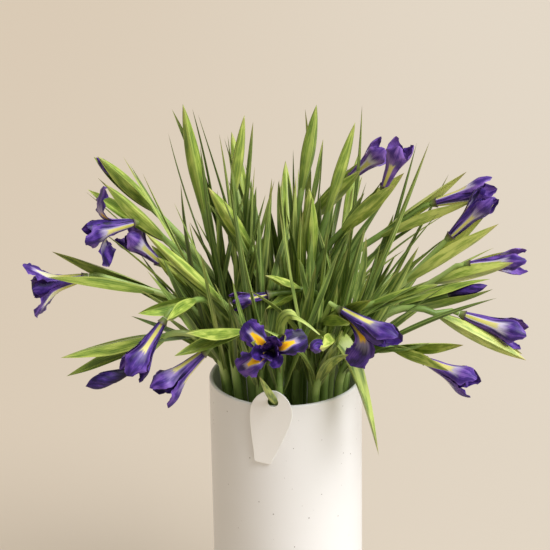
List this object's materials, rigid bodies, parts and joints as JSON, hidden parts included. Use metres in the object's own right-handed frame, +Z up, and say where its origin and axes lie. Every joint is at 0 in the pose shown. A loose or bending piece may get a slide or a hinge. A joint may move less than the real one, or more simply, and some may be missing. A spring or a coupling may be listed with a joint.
{
  "type": "vase of cut irises",
  "caption": "Cut violet irises with yellow signals and long green leaves standing in a tall white cylinder vase, a blank tag threaded on a leaf.",
  "frame": {"origin": "middle of the vase's flat base, where it meets the table", "axes": "+Z up along the vase; -Y is the side with the tag, which the picture shows; +X to the right as the picture is seen"},
  "size_m": [0.484, 0.3333, 0.567],
  "materials": {
    "glazed_ceramic": "satin off-white glaze",
    "water": "clear water",
    "card": "matt white card",
    "leaf_green": "fresh green leaf",
    "petal_violet": "soft violet petal"
  },
  "bodies": {
    "root": {"vase": "glazed_ceramic", "water": "water", "tag": "card", "iris_01_flower": "petal_violet", "iris_01_stem": "leaf_green", "iris_02_flower": "petal_violet", "iris_02_stem": "leaf_green", "iris_03_flower": "petal_violet", "iris_03_stem": "leaf_green", "iris_04_flower": "petal_violet", "iris_04_stem": "leaf_green", "iris_05_bud": "petal_violet", "iris_05_stem": "leaf_green", "iris_06_flower": "petal_violet", "iris_06_stem": "leaf_green", "iris_07_flower": "petal_violet", "iris_07_stem": "leaf_green", "iris_08_flower": "petal_violet", "iris_08_stem": "leaf_green", "iris_09_bud": "petal_violet", "iris_09_stem": "leaf_green", "iris_10_flower": "petal_violet", "iris_10_stem": "leaf_green", "iris_11_flower": "petal_violet", "iris_11_stem": "leaf_green", "iris_12_flower": "petal_violet", "iris_12_stem": "leaf_green", "iris_13_flower": "petal_violet", "iris_13_stem": "leaf_green", "iris_14_flower": "petal_violet", "iris_14_stem": "leaf_green", "iris_15_flower": "petal_violet", "iris_15_stem": "leaf_green", "iris_16_bud": "petal_violet", "iris_16_stem": "leaf_green", "iris_17_stem": "leaf_green", "iris_18_flower": "petal_violet", "iris_18_stem": "leaf_green", "iris_19_flower": "petal_violet", "iris_19_stem": "leaf_green", "iris_20_bud": "petal_violet", "iris_20_stem": "leaf_green", "iris_21_stem": "leaf_green", "iris_22_stem": "leaf_green", "iris_23_stem": "leaf_green", "iris_24_stem": "leaf_green", "iris_25_stem": "leaf_green", "iris_26_stem": "leaf_green", "iris_27_stem": "leaf_green", "iris_28_flower": "petal_violet", "iris_28_stem": "leaf_green", "iris_29_stem": "leaf_green", "iris_30_flower": "petal_violet", "iris_30_stem": "leaf_green", "iris_31_stem": "leaf_green", "iris_32_stem": "leaf_green"}
  },
  "joints": []
}
